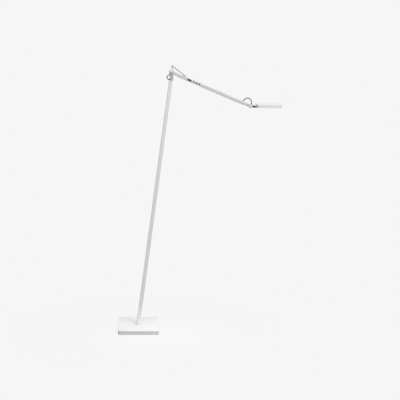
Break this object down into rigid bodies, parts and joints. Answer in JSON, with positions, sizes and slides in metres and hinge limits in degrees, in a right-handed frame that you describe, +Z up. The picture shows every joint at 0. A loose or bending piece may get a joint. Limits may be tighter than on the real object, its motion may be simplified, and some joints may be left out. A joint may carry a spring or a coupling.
{
  "type": "adjustable arm floor lamp",
  "caption": "Slim floor lamp with a flat weighted base, leaning square pole, spring-balanced arm and flat square light head, with swivel, elbow, wrist and head joints.",
  "frame": {"origin": "centre of the base's underside, on the floor", "axes": "+Z up, +X the way the arm reaches at rest, arm in the plane Y = 0"},
  "size_m": [0.6505, 0.2335, 1.0752],
  "materials": {
    "white_paint": "gloss white powder paint on aluminium",
    "arm_paint": "satin white paint, a shade greyer than the pole",
    "cast_grey": "light grey paint on cast aluminium",
    "ballast_steel": "phosphated steel plate",
    "base_rubber": "matt rubber sheet",
    "plain_steel": "brushed stainless",
    "cap_metal": "satin turned aluminium",
    "dark_plastic": "matt black moulded nylon",
    "dark_metal": "blackened spring steel",
    "bearing_plastic": "natural acetal",
    "anchor_metal": "milled aluminium",
    "cable_black": "black silicone cable sleeve",
    "diffuser_plastic": "opal acrylic",
    "guide_acrylic": "clear acrylic light guide",
    "board_aluminium": "white-masked aluminium board",
    "led_yellow": "phosphor chip",
    "button_plastic": "gloss white cap"
  },
  "bodies": {
    "base": {"base_cover": "white_paint", "base_ballast": "ballast_steel", "base_pad": "base_rubber", "ballast_screws": "plain_steel", "inlet_gland": "dark_plastic", "swivel_bush": "bearing_plastic", "thrust_washer": "bearing_plastic", "wave_washer": "plain_steel", "stop_pin": "plain_steel"},
    "pole": {"swivel_spigot": "plain_steel", "stop_washer": "plain_steel", "spigot_nut": "plain_steel", "pole": "white_paint", "pole_foot": "white_paint", "elbow_knuckle": "cast_grey", "pole_grommet": "dark_plastic", "bracket_front": "white_paint", "bracket_rear": "white_paint", "elbow_pin": "plain_steel", "elbow_cap_front": "cap_metal", "elbow_cap_rear": "cap_metal", "elbow_washers": "bearing_plastic", "link_pin": "plain_steel", "link_spacers": "cap_metal", "elbow_cable": "cable_black"},
    "arm": {"upper_arm": "arm_paint", "arm_hinge": "arm_paint", "spring_anchor": "anchor_metal", "preload_screw": "plain_steel", "balance_spring": "dark_metal", "wrist_fork": "arm_paint", "arm_grommet": "dark_plastic", "wrist_pin": "plain_steel", "wrist_cap_front": "cap_metal", "wrist_cap_rear": "cap_metal", "wrist_cable": "cable_black"},
    "rod": {"tie_rod": "plain_steel"},
    "slider": {"spring_slider": "dark_plastic"},
    "wrist": {"wrist_block": "arm_paint", "block_grommet": "dark_plastic", "neck_sleeve": "dark_plastic"},
    "head": {"head_housing": "white_paint", "head_bezel": "white_paint", "diffuser": "diffuser_plastic", "light_guide": "guide_acrylic", "led_board": "board_aluminium", "led_chips": "led_yellow", "head_screws": "plain_steel", "neck_shaft": "plain_steel", "neck_clamp": "plain_steel", "dimmer_switch": "dark_plastic"},
    "button": {"dimmer_button": "button_plastic"}
  },
  "joints": [
    {"name": "base_swivel", "type": "hinge", "parent": "base", "child": "pole", "pos_m": [0, 0, 0.017], "axis": [0, 0, 1], "range_deg": [-170, 170]},
    {"name": "elbow_hinge", "type": "hinge", "parent": "pole", "child": "arm", "pos_m": [0.1325, 0, 1.0461], "axis": [0, 1, 0], "range_deg": [-40, 30], "deforming": ["elbow_cable"]},
    {"name": "rod_swing", "type": "hinge", "parent": "pole", "child": "rod", "pos_m": [0.1351, 0, 1.0723], "axis": [0, 1, 0], "range_deg": [-45, 35]},
    {"name": "slider_travel", "type": "slide", "parent": "arm", "child": "slider", "axis": [0.9201, 0, -0.3917], "range_m": [-0.0135, 0.0175], "deforming": ["balance_spring"]},
    {"name": "wrist_tilt", "type": "hinge", "parent": "arm", "child": "wrist", "pos_m": [0.43484, 0, 0.91739], "axis": [0, 1, 0], "range_deg": [-50, 90], "deforming": ["wrist_cable"]},
    {"name": "head_roll", "type": "hinge", "parent": "wrist", "child": "head", "pos_m": [0.46, 0, 0.9104], "axis": [1, 0, 0], "range_deg": [-90, 90]},
    {"name": "dimmer_press", "type": "slide", "parent": "head", "child": "button", "axis": [0, 0, -1], "range_m": [0, 0.0008], "stiffness_N_per_m": 600, "springref_m": -0.0004}
  ],
  "couplings": [
    {"joint": "rod_swing", "follows": "elbow_hinge", "ratio": 0.93},
    {"joint": "slider_travel", "follows": "elbow_hinge", "m_per_rad": -0.0225}
  ]
}
